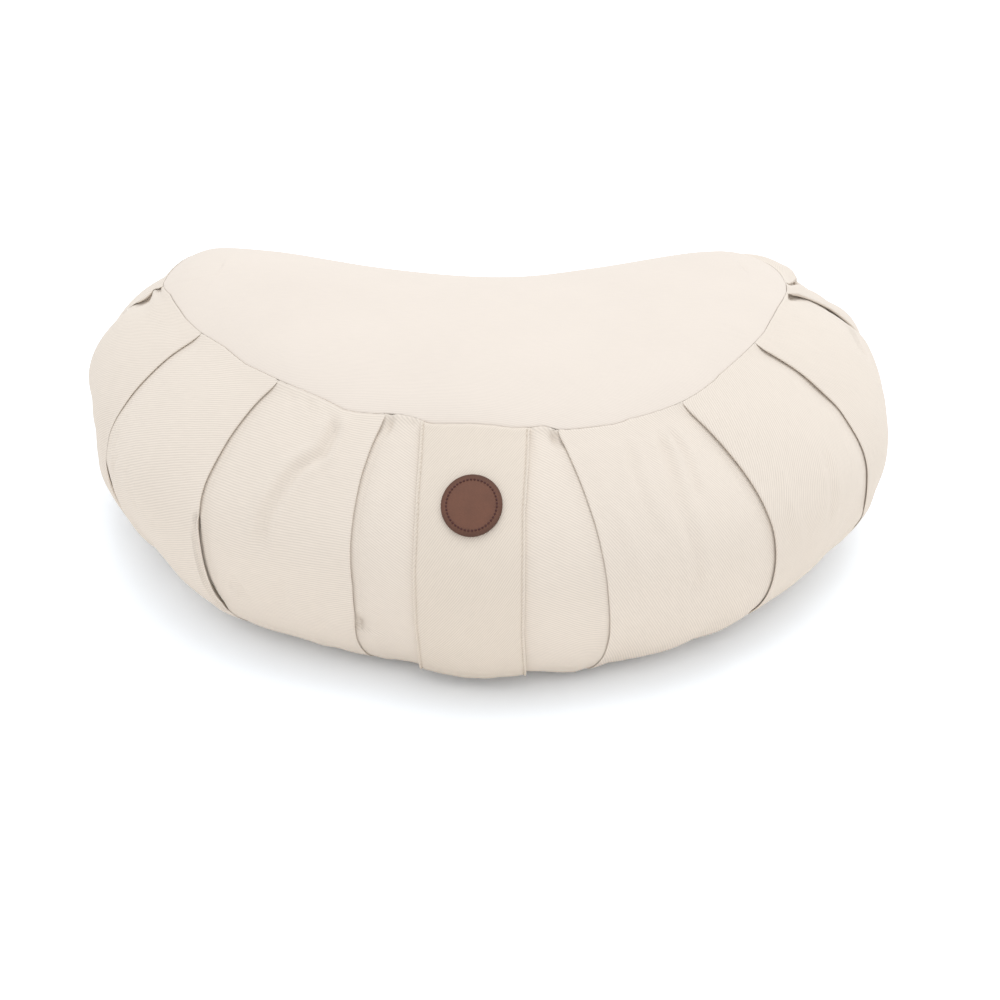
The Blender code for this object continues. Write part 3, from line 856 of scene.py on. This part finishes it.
wall_cloth = cloth_grid("wall_cloth", body_grid, pattern)
with edit_mode(wall_cloth):
    bpy.ops.mesh.remove_doubles(threshold=WELD)
    bpy.ops.mesh.select_all(action="DESELECT")
    bpy.ops.mesh.select_mode(type="EDGE")
    bpy.ops.mesh.select_non_manifold(extend=False, use_wire=False, use_boundary=True,
                                     use_multi_face=False, use_non_contiguous=False,
                                     use_verts=False)
    bpy.ops.mesh.edge_face_add()
    bpy.ops.mesh.select_mode(type="VERT")
turn_outward(wall_cloth)
wall_cloth.data.shade_smooth()
print("side wall:", triangles_of(wall_cloth), "triangles")

# %% [markdown]
# ## The top and base panels
#
# Both panels are sheets. The top sheet follows the crown and rolls into the seam. The base sheet
# starts as a filled circle whose vertices are laid along the foot of the wall, and gets its
# thickness by one extrusion. It lies flat on the floor.

# %% Make the top panel
top_cloth = cloth_grid("top_cloth", top_grid, top_grid[..., :2])
with edit_mode(top_cloth):
    bpy.ops.mesh.remove_doubles(threshold=WELD)
    bpy.ops.mesh.normals_make_consistent(inside=False)
if sum(face.normal.z for face in top_cloth.data.polygons) < 0:
    top_cloth.data.flip_normals()
thicken(top_cloth, TOP_CLOTH)
print("top panel:", triangles_of(top_cloth), "triangles")

# %% Make the base panel
outline = foot[::2, :2]
bpy.ops.mesh.primitive_circle_add(vertices=len(outline), radius=1.0, fill_type="NGON")
base_cloth = new_piece("base_cloth")
move_vertices(base_cloth, np.pad(outline, ((0, 0), (0, 1))))
with edit_mode(base_cloth):
    bpy.ops.mesh.extrude_region_move(TRANSFORM_OT_translate={"value": (0, 0, 1.4 * MM)})
turn_outward(base_cloth)
print("base panel:", triangles_of(base_cloth), "triangles")

# %% [markdown]
# ## A flat workbench for the front band
#
# The band and the badge are flat things that are sewn onto a curved wall. They are modelled flat,
# with x across the band and y up it, and z as the height above the cloth. One function then lays
# any flat piece on the front of the wall, and the piece takes on the wall's curve.

# %% Lay flat work on the front of the wall
# The band's middle line as (distance down, x).
BAND_LINE = [(0, -15.1), (20, -16.9), (42, -19.4), (72, -21.3), (100, -21.3), (135, -19.2),
             (180, -17.0)]
BESIDE = (6, 7)         # the pleats on the left and right of the band, as rows of the pleats' table
BELLY_ROW = 40
left, right = (lines[k][BELLY_ROW] for k in BESIDE)
front_columns = [c for c in range(COLUMNS)
                 if kinds[c] < 0 and left < centred(place[BELLY_ROW, c]) < right]
front_places = np.arange(-75.0, 60.0, 0.5)
front_lift = np.array([np.interp(front_places, centred(at), high)
                       for at, high in zip(place[:, front_columns], lift[:, front_columns])])
front_lift += groove_at(front_places[None], row_arc[:, None]) + base_groove_at(row_arc[:, None])
front_xs = [wall_base(front_places, share)[:, 0] for share in row_down]
band_middle = table_at(BAND_LINE, row_arc)


def lay_on_front(flat):
    """Points of the front of the wall, in mm, for flat points (x across, y up, z height)."""
    row = np.clip(np.interp(-flat[:, 1], row_arc, np.arange(ROWS)), 0, ROWS - 1.001)
    low = row.astype(int)
    share = row - low
    spots = []
    for near in (low, low + 1):
        at, raised = np.empty(len(flat)), np.empty(len(flat))
        for one in np.unique(near):
            here = near == one
            at[here] = np.interp(band_middle[one] + flat[here, 0], front_xs[one], front_places)
            raised[here] = np.interp(at[here], front_places, front_lift[one])
        point = wall_point(at, row_down[near], raised + flat[:, 2])
        spots.append(point + seam_pull(at, row_arc[near]))
    return spots[0] + (spots[1] - spots[0]) * share[:, None]


def lay_piece(piece, on_bench=None):
    """Lays a flat piece on the front of the wall; on_bench first moves its points on the flat."""
    flat = vertices_of(piece) / MM
    move_vertices(piece, lay_on_front(on_bench(flat) if on_bench else flat))


# %% Make the front band
# The band's width as (distance down, width): the thread draws it in a little over the belly.
BAND_WIDTHS = [(0, 52.5), (45, 50.9), (72, 52.0), (110, 51.7), (152, 52.6)]
BAND_SHARE = 0.88       # the band ends at this share of the way down the wall
BAND_CLOTH = 1.0
band_arc = row_arc[row_down <= BAND_SHARE]
BAND_LENGTH = band_arc[-1]
# Height of the band by the distance in from its edge: a turned edge, a hollow at the thread.
edge_steps = np.array([0.0, 0.1, 0.3, 0.6, 0.95, 1.3, 1.65, 2.0, 2.6, 4.0])
edge_height = np.array([0.0, 1.2, 2.0, 2.3, 2.25, 1.8, 1.3, 1.6, 1.8, 1.85])
half_band, hem = 26.0, 6.4
across = np.concatenate([-half_band + edge_steps,
                         np.linspace(-half_band + hem, half_band - hem, 19),
                         half_band - edge_steps[::-1]])
height = np.interp(half_band - np.abs(across), edge_steps, edge_height)
width = table_at(BAND_WIDTHS, band_arc)
sewn = smooth(-0.8, 2.5, band_arc) * smooth(-0.5, 1.5, BAND_LENGTH - band_arc + 0.3)
seam_roll = 0.5 * np.exp(-band_arc / 0.5)
flat_band = np.stack([
    across[None] * width[:, None] / (2 * half_band),
    np.repeat(-band_arc[:, None], len(across), 1),
    height[None] * sewn[:, None] - seam_roll[:, None],
], -1)
band_points = lay_on_front(flat_band.reshape(-1, 3)).reshape(flat_band.shape)
band_cloth = cloth_grid("band_cloth", band_points, flat_band[..., :2])
if np.mean([face.normal.y for face in band_cloth.data.polygons]) > 0:
    band_cloth.data.flip_normals()
thicken(band_cloth, BAND_CLOTH)
print("front band:", triangles_of(band_cloth), "triangles, mm long:", round(BAND_LENGTH))

# %% [markdown]
# ## The thread on the band
#
# One stitch is modelled and then copied. It is a short thread that dips at both ends, so it starts
# as a small cylinder, and its ends are drawn in and bent down.

# %% Make one stitch and sew the band's edges
def make_stitch(length, thickness):
    """A short piece of thread, flat on the bench, lying along y."""
    bpy.ops.mesh.primitive_cylinder_add(vertices=8, radius=thickness / 2 * MM, depth=length * MM,
                                        end_fill_type="NGON")
    stitch = new_piece("stitch")
    with edit_mode(stitch):
        for share in (-0.3, 0.0, 0.3):
            bpy.ops.mesh.select_all(action="SELECT")
            bpy.ops.mesh.bisect(plane_co=(0, 0, share * length * MM), plane_no=(0, 0, 1))
    for vertex in stitch.data.vertices:
        t = vertex.co.z / (length * MM / 2)
        slim = math.sqrt(max(1 - abs(t) ** 3 * 0.75, 0))
        x, y, z = vertex.co.x * slim, vertex.co.z, vertex.co.y * slim
        vertex.co = (x, y, z - 0.35 * MM * abs(t) ** 2.5)
    return stitch


def sew(name, one, spots, on_bench=None):
    """Copies a stitch to flat spots (x, y, height, turn), joins them and lays them on the cloth."""
    copies = []
    bpy.ops.object.select_all(action="DESELECT")
    for x, y, z, turn in spots:
        copy = one.copy()
        copy.data = one.data.copy()
        copy.data.transform(Matrix.Translation((x * MM, y * MM, z * MM))
                            @ Matrix.Rotation(turn, 4, "Z"))
        bpy.context.scene.collection.objects.link(copy)
        copy.select_set(True)
        copies.append(copy)
    bpy.context.view_layer.objects.active = copies[0]
    bpy.ops.object.join()
    piece = new_piece(name)
    lay_piece(piece, on_bench)
    turn_outward(piece)
    piece.data.shade_smooth()
    bpy.data.objects.remove(one, do_unlink=True)
    print(name + ":", len(spots), "stitches,", triangles_of(piece), "triangles")
    return piece


STITCH_PITCH, STITCH_INSET, STITCH_HEIGHT = 2.5, 1.65, 1.5
spots = [(side * (np.interp(y, band_arc, width) / 2 - STITCH_INSET), -y, STITCH_HEIGHT, 0.0)
         for side in (-1, 1) for y in np.arange(2.2, BAND_LENGTH - 3, STITCH_PITCH)]
band_thread = sew("band_thread", make_stitch(1.7, 0.45), spots)

# %% [markdown]
# ## The leather badge
#
# The badge is a disc punched from thick leather. It starts as a cylinder. Its face is inset in
# rings, so that it has enough vertices to bend with the wall, and its rims are bevelled as a
# punched and rubbed edge is. A ring of small thread stitches runs near the rim.

# %% Make the badge
BADGE_RADIUS, BADGE_THICKNESS = 14.5, 1.9
BADGE_SPOT = (0.7, -41.4)      # its middle on the flat band
BADGE_TALL = 1.045             # the disc is a little taller than it is wide
STITCH_RING, STITCHES = 0.82 * BADGE_RADIUS, 44
BAND_FACE = edge_height[-1]    # height of the band's face on the bench


def on_band(x, y):
    """Where flat points of the band's face lie on the cushion."""
    return lay_on_front(np.stack([x, y, np.full_like(x, BAND_FACE)], -1))


# A disc stays round only if it is set square to the wall at its middle. So its own level and
# upright ways are found there, and each point of it is then brought to the place that it covers.
spot_x, spot_y = np.array([BADGE_SPOT[0]]), np.array([BADGE_SPOT[1]])
badge_middle = on_band(spot_x, spot_y)[0]
step_x = (on_band(spot_x + 2, spot_y) - on_band(spot_x - 2, spot_y))[0] / 4
step_y = (on_band(spot_x, spot_y + 2) - on_band(spot_x, spot_y - 2))[0] / 4
badge_out = np.cross(step_x, step_y)
badge_out /= np.linalg.norm(badge_out)
badge_level = np.cross((0, 0, 1.0), badge_out)
badge_level /= np.linalg.norm(badge_level)
badge_up = np.cross(badge_out, badge_level)
slopes = np.array([[step_x @ badge_level, step_y @ badge_level],
                   [step_x @ badge_up, step_y @ badge_up]])
to_bench = np.linalg.inv(slopes).T


def disc_to_band(flat):
    """Flat points on the band that points of the disc cover; heights are kept."""
    disc = flat[:, :2] * (1.0, BADGE_TALL)
    bench = np.array(BADGE_SPOT) + disc @ to_bench
    for _ in range(4):
        offset = on_band(bench[:, 0], bench[:, 1]) - badge_middle
        error = disc - np.stack([offset @ badge_level, offset @ badge_up], -1)
        bench = bench + error @ to_bench
    return np.concatenate([bench, flat[:, 2:]], -1)


bpy.ops.mesh.primitive_cylinder_add(vertices=96, radius=BADGE_RADIUS * MM,
                                    depth=BADGE_THICKNESS * MM)
badge = new_piece("leather_badge")
with edit_mode(badge):
    edit = bmesh.from_edit_mesh(badge.data)
    for edge in edit.edges:
        edge.select = abs(edge.verts[0].co.z - edge.verts[1].co.z) < 1e-6
    bmesh.update_edit_mesh(badge.data)
    bpy.ops.mesh.bevel(offset=0.5 * MM, segments=4, profile=0.6)
    for step in (0.25, 1.0, 0.5, 0.4, 0.5, 2.2, 2.2, 2.2, 2.2):
        bpy.ops.mesh.select_all(action="DESELECT")
        edit = bmesh.from_edit_mesh(badge.data)
        for face in edit.faces:
            face.select = len(face.verts) > 8
        bmesh.update_edit_mesh(badge.data)
        bpy.ops.mesh.inset(thickness=step * MM, depth=0)
for vertex in badge.data.vertices:
    reach = math.hypot(vertex.co.x, vertex.co.y) / MM
    face = vertex.co.z > 0
    # A shallow channel where the thread sinks in, and a face that is slightly domed inside it.
    channel = 0.22 * math.exp(-((reach - STITCH_RING) / 0.55) ** 2) if face else 0.0
    dome = 0.12 * (1 - (reach / BADGE_RADIUS) ** 2) if face else 0.0
    vertex.co.z += (BAND_FACE + BADGE_THICKNESS / 2 + dome - channel + 0.05) * MM
lay_piece(badge, disc_to_band)
turn_outward(badge)
badge.data.shade_smooth()
print("badge:", triangles_of(badge), "triangles")

# %% Sew the badge on
turns = [2 * math.pi * k / STITCHES for k in range(STITCHES)]
spots = [(STITCH_RING * math.cos(turn), STITCH_RING * math.sin(turn),
          BAND_FACE + BADGE_THICKNESS + 0.12, turn) for turn in turns]
badge_thread = sew("badge_thread", make_stitch(1.25, 0.9), spots, disc_to_band)

# %% [markdown]
# ## Cloth, thread and leather
#
# The cover is natural cotton twill. A twill shows fine slanting ribs, and each rib is crossed by
# single yarns, some thicker than others. That pattern is built once as a node group that gives a
# height and a shade, and every cloth and thread uses it with its own scale and slant. The shade is
# painted shade in the grooves between the ribs, together with the yarns' own uneven tone.

# %% Helpers for shader nodes
def feed(tree, node, inputs):
    """Sets each input of a node to a value, or links it to another node's output."""
    for label, value in inputs.items():
        if isinstance(value, bpy.types.NodeSocket):
            tree.links.new(value, node.inputs[label])
        else:
            node.inputs[label].default_value = value


def add_node(tree, kind, inputs=None, **settings):
    """A shader node with its settings and its inputs."""
    node = tree.nodes.new("ShaderNode" + kind)
    for label, value in settings.items():
        setattr(node, label, value)
    feed(tree, node, inputs or {})
    return node


def maths(tree, operation, *values):
    """One maths step; each value is a number or another node's output."""
    return add_node(tree, "Math", dict(enumerate(values)), operation=operation).outputs[0]


def wave(tree, value):
    """A sine of value, brought between 0 and 1."""
    sine = maths(tree, "SINE", maths(tree, "MULTIPLY", value, 2 * math.pi))
    return maths(tree, "MULTIPLY_ADD", sine, 0.5, 0.5)


def noise(tree, vector, scale, detail=2.0):
    """Soft clouds of grey."""
    inputs = {"Vector": vector, "Scale": scale, "Detail": detail}
    return add_node(tree, "TexNoise", inputs).outputs["Fac"]


def relief(tree, height, strength, distance):
    """The small bumps of a surface, from their height."""
    inputs = {"Height": height, "Strength": strength, "Distance": distance}
    return add_node(tree, "Bump", inputs).outputs["Normal"]


# %% The twill weave
twill = bpy.data.node_groups.new("twill_weave", "ShaderNodeTree")
for label, kind, value in (("Vector", "Vector", (0, 0, 0)), ("Rib", "Float", 0.0012),
                           ("Yarn", "Float", 0.00045)):
    twill.interface.new_socket(name=label, in_out="INPUT",
                               socket_type="NodeSocket" + kind).default_value = value
for label in ("Height", "Shade"):
    twill.interface.new_socket(name=label, in_out="OUTPUT", socket_type="NodeSocketFloat")
ins, outs = twill.nodes.new("NodeGroupInput"), twill.nodes.new("NodeGroupOutput")
vector = ins.outputs["Vector"]
split = add_node(twill, "SeparateXYZ", {0: vector})
wander = maths(twill, "MULTIPLY", noise(twill, vector, 90.0), 0.5)
ribs = maths(twill, "DIVIDE", split.outputs["Y"], ins.outputs["Rib"])
rib = wave(twill, maths(twill, "ADD", ribs, wander))
yarn = wave(twill, maths(twill, "DIVIDE", split.outputs["X"], ins.outputs["Yarn"]))
stretch = add_node(twill, "Mapping", {"Vector": vector, "Scale": (1.0, 14.0, 1.0)})
slub = noise(twill, stretch.outputs[0], 130.0, 3.0)
height = maths(twill, "MULTIPLY_ADD", yarn, 0.22, maths(twill, "MULTIPLY", rib, 0.6))
height = maths(twill, "MULTIPLY_ADD", slub, 0.35, height)
# Painted shade: the colour darkens in the grooves between the ribs; the slub below adds the yarn's
# own tone.
shade = maths(twill, "MULTIPLY_ADD", rib, 0.15, 0.855)
shade = maths(twill, "MULTIPLY_ADD", slub, 0.14, shade)
feed(twill, outs, {"Height": height, "Shade": shade})


# %% Cloth and thread materials
def plain_material(name):
    """A new material with one surface shader and nothing else."""
    material = bpy.data.materials.new(name)
    material.use_nodes = True
    tree = material.node_tree
    tree.nodes.clear()
    shader = add_node(tree, "BsdfPrincipled")
    add_node(tree, "OutputMaterial", {"Surface": shader.outputs["BSDF"]})
    return material, tree, shader


def tinted(tree, colour, *factors):
    """A colour multiplied by each factor."""
    mixed = (*colour, 1.0)
    for factor in factors:
        grey = add_node(tree, "CombineColor", {0: factor, 1: factor, 2: factor}).outputs[0]
        mixed = add_node(tree, "Mix", {0: 1.0, 6: mixed, 7: grey}, data_type="RGBA",
                         blend_type="MULTIPLY").outputs[2]
    return mixed


def cloth_material(name, colour, slant, rib=0.0012, bump=0.00008, contrast=1.0):
    """Natural cotton twill whose ribs slant by an angle in degrees."""
    material, tree, shader = plain_material(name)
    pattern_map = add_node(tree, "UVMap", uv_map="cloth").outputs[0]
    turn = add_node(tree, "Mapping", {"Vector": pattern_map,
                                      "Rotation": (0, 0, math.radians(slant))})
    weave = add_node(tree, "Group", {"Vector": turn.outputs[0], "Rib": rib}, node_tree=twill)
    blotch = noise(tree, add_node(tree, "TexCoord").outputs["Object"], 22.0, 3.0)
    blotch = maths(tree, "MULTIPLY_ADD", blotch, 0.05, 0.975)
    shade = maths(tree, "MULTIPLY_ADD", weave.outputs["Shade"], contrast, 1.0 - contrast)
    height = weave.outputs["Height"]
    feed(tree, shader, {
        "Base Color": tinted(tree, colour, shade, blotch),
        "Roughness": maths(tree, "MULTIPLY_ADD", height, 0.1, 0.84),
        "Specular IOR Level": 0.2, "Sheen Weight": 0.12, "Sheen Roughness": 0.5,
        "Normal": relief(tree, height, 0.6, bump),
    })
    return material


def thread_material(name, colour):
    """The same twill pattern, so fine that it reads as the ply of a thread."""
    material, tree, shader = plain_material(name)
    ply = add_node(tree, "Group", {"Vector": add_node(tree, "TexCoord").outputs["Object"],
                                   "Rib": 0.00035, "Yarn": 0.0002}, node_tree=twill)
    feed(tree, shader, {
        "Base Color": tinted(tree, colour, ply.outputs["Shade"]),
        "Roughness": 0.7, "Sheen Weight": 0.1,
        "Normal": relief(tree, ply.outputs["Height"], 0.5, 0.00008),
    })
    return material


# Painted shade: the wall and base cotton, and the band's, are a little warmer and darker than the
# top's lit copy of the same cloth; the rest is the cloth's own colour.
SHADED_COTTON = (0.72, 0.655, 0.585)
wall_twill = cloth_material("wall_twill", SHADED_COTTON, 0.0)
top_twill = cloth_material("top_twill", (0.722, 0.659, 0.598), 12.0, rib=0.001, bump=0.00005,
                           contrast=0.55)
band_twill = cloth_material("band_twill", (0.69, 0.622, 0.545), -55.0, rib=0.00096)
base_twill = cloth_material("base_twill", SHADED_COTTON, 30.0)
# The band's thread is darker than the band's cloth, as painted shade along the stitch line.
cotton_thread = thread_material("cotton_thread", (0.62, 0.55, 0.47))
dark_thread = thread_material("dark_thread", (0.06, 0.009, 0.007))

# %% [markdown]
# ## Leather
#
# Leather has a fine pebbled grain with a few pores, a colour that is never even, and an edge that
# is rubbed darker. The grain comes from small cells. The rim is darkened by how far a point lies
# from the badge's middle; that darkening is partly the rubbed edge and partly painted shade on the
# rim.

# %% The badge's leather
leather, tree, shader = plain_material("brown_leather")
where = add_node(tree, "TexCoord").outputs["Object"]
cells = add_node(tree, "TexVoronoi", {"Vector": where, "Scale": 2200.0})
cloud, fine = noise(tree, where, 160.0, 4.0), noise(tree, where, 900.0, 3.0)
face_middle = (badge_middle + BADGE_THICKNESS * badge_out) * MM
from_middle = add_node(tree, "Mapping", {"Vector": where, "Location": tuple(-face_middle)})
reach = add_node(tree, "VectorMath", {0: from_middle.outputs[0]}, operation="LENGTH")
# Darker rim: partly the rubbed leather edge, partly painted shade.
rim = add_node(tree, "MapRange", {
    "Value": reach.outputs["Value"], "From Min": 0.0115, "From Max": 0.0155,
    "To Min": 1.0, "To Max": 0.62}, interpolation_type="SMOOTHSTEP")
tone = maths(tree, "MULTIPLY_ADD", cloud, 0.35, 0.82)
tone = maths(tree, "MULTIPLY_ADD", fine, 0.14, tone)
grain = maths(tree, "MULTIPLY_ADD", fine, 0.6, cells.outputs["Distance"])
feed(tree, shader, {
    "Base Color": tinted(tree, (0.139, 0.058, 0.036), tone, rim.outputs[0]),
    "Roughness": maths(tree, "MULTIPLY_ADD", cloud, 0.2, 0.45),
    "Specular IOR Level": 0.35,
    "Normal": relief(tree, grain, 0.5, 0.0001),
})

# %% Dress each piece
for piece, material in ((wall_cloth, wall_twill), (top_cloth, top_twill), (base_cloth, base_twill),
                        (band_cloth, band_twill), (band_thread, cotton_thread),
                        (badge, leather), (badge_thread, dark_thread)):
    piece.data.materials.clear()
    piece.data.materials.append(material)

# %% [markdown]
# ## Hang the pieces on the body
#
# Every piece moves with the one body, and the solid that each cloth stands for is hidden.

# %% Pieces, solids and sheets
for piece, node, finish_slot in (
        (wall_cloth, "filled_wall", "twill"), (top_cloth, "top_panel", "twill"),
        (base_cloth, "base_panel", "twill"), (band_cloth, "front_band", "twill"),
        (badge, "leather_patch", "leather"), (band_thread, None, "twill"),
        (badge_thread, None, "leather")):
    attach(piece, "root")
    if node:
        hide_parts(node)

# %% [markdown]
# ## Floor, light and camera
#
# The cushion was photographed on white under very soft light. A white world gives most of it. One
# large lamp overhead makes the top a little brighter than the walls, a weak one in front lifts the
# band, and one behind on the right lights that side. The camera looks down by thirty degrees from
# slightly left of the middle, through a long lens.

# %% Floor and light
bpy.ops.mesh.primitive_plane_add(size=30.0, location=(0, 0, -0.0002))
floor = bpy.context.object
floor.name = "floor"
floor_material, tree, shader = plain_material("white_floor")
# Light that bounces off the floor is a little warm, while the camera sees the floor as white.
seen = add_node(tree, "LightPath").outputs["Is Camera Ray"]
board = add_node(tree, "Mix", {0: seen, 6: (1.02, 1.005, 0.985, 1.0), 7: (1.12, 1.19, 1.27, 1.0)},
                 data_type="RGBA")
feed(tree, shader, {"Base Color": board.outputs[2], "Roughness": 0.9, "Specular IOR Level": 0.0})
floor.data.materials.append(floor_material)

scene = bpy.context.scene
scene.view_settings.view_transform = "Standard"
scene.view_settings.look = "None"
world = bpy.data.worlds.new("white_room")
world.use_nodes = True
feed(world.node_tree, world.node_tree.nodes["Background"],
     {"Color": (1.0, 1.0, 1.0, 1.0), "Strength": 0.953})
scene.world = world


def area_light(name, spot, aim, size, power):
    """A round lamp at a spot, turned to its aim."""
    lamp = bpy.data.lights.new(name, "AREA")
    lamp.shape, lamp.size, lamp.energy = "DISK", size, power
    holder = bpy.data.objects.new(name, lamp)
    holder.location = spot
    holder.rotation_euler = (Vector(aim) - Vector(spot)).to_track_quat("-Z", "Y").to_euler()
    scene.collection.objects.link(holder)


area_light("overhead", (0.2, 0.3, 2.4), (0, 0, 0), 2.0, 18.2)
area_light("front", (0.0, -2.0, 0.3), (0, 0, 0.06), 1.4, 1.1)
area_light("behind", (1.5, 1.2, 1.5), (0, 0, 0.06), 1.4, 3.2)

# %% Camera
ELEVATION, YAW, DISTANCE, LENS = 0.52, -0.0677, 1.12, 72.98
TARGET = Vector((0.0038, -0.0041, 0.0287))
back = Vector((math.sin(YAW) * math.cos(ELEVATION), -math.cos(YAW) * math.cos(ELEVATION),
               math.sin(ELEVATION)))
lens = bpy.data.cameras.new("camera")
lens.lens, lens.sensor_width, lens.clip_end = LENS, 36.0, 100.0
camera = bpy.data.objects.new("camera", lens)
camera.location = TARGET + back * DISTANCE
camera.rotation_euler = (-back).to_track_quat("-Z", "Y").to_euler()
scene.collection.objects.link(camera)
scene.camera = camera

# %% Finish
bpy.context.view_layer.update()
